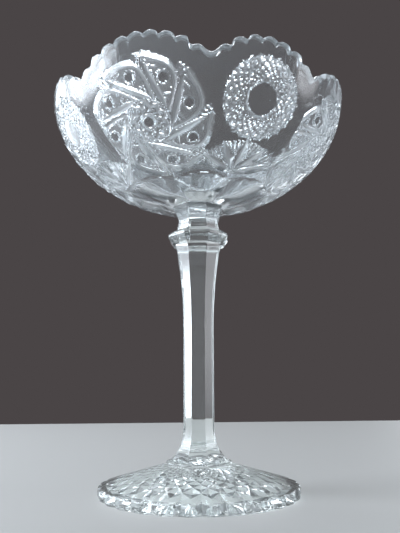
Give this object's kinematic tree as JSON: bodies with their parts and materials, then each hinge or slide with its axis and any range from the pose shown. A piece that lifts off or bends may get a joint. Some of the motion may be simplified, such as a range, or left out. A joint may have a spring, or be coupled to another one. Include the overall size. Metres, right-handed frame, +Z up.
{
  "type": "pressed-glass compote",
  "caption": "Tall footed pressed-glass compote with a lobed, toothed bowl, an octagonal stem and a scalloped foot, for serving sweets, jelly or fruit.",
  "frame": {"origin": "middle of the ring that the foot stands on, on the table's surface", "axes": "+Z up the stem's axis; -Y through one of the valleys between the rim's lobes; +X to the right when that valley is seen from the front"},
  "size_m": [0.1432, 0.1432, 0.188],
  "materials": {
    "foot_glass": "clear pressed soda-lime glass, fire-polished",
    "stem_glass": "clear pressed soda-lime glass, fire-polished",
    "knop_glass": "clear pressed soda-lime glass, fire-polished",
    "wafer_glass": "clear pressed soda-lime glass, fire-polished",
    "bowl_glass": "clear pressed soda-lime glass, fire-polished"
  },
  "bodies": {
    "root": {"foot": "foot_glass", "stem": "stem_glass", "knop": "knop_glass", "wafer": "wafer_glass", "bowl": "bowl_glass"}
  },
  "joints": []
}
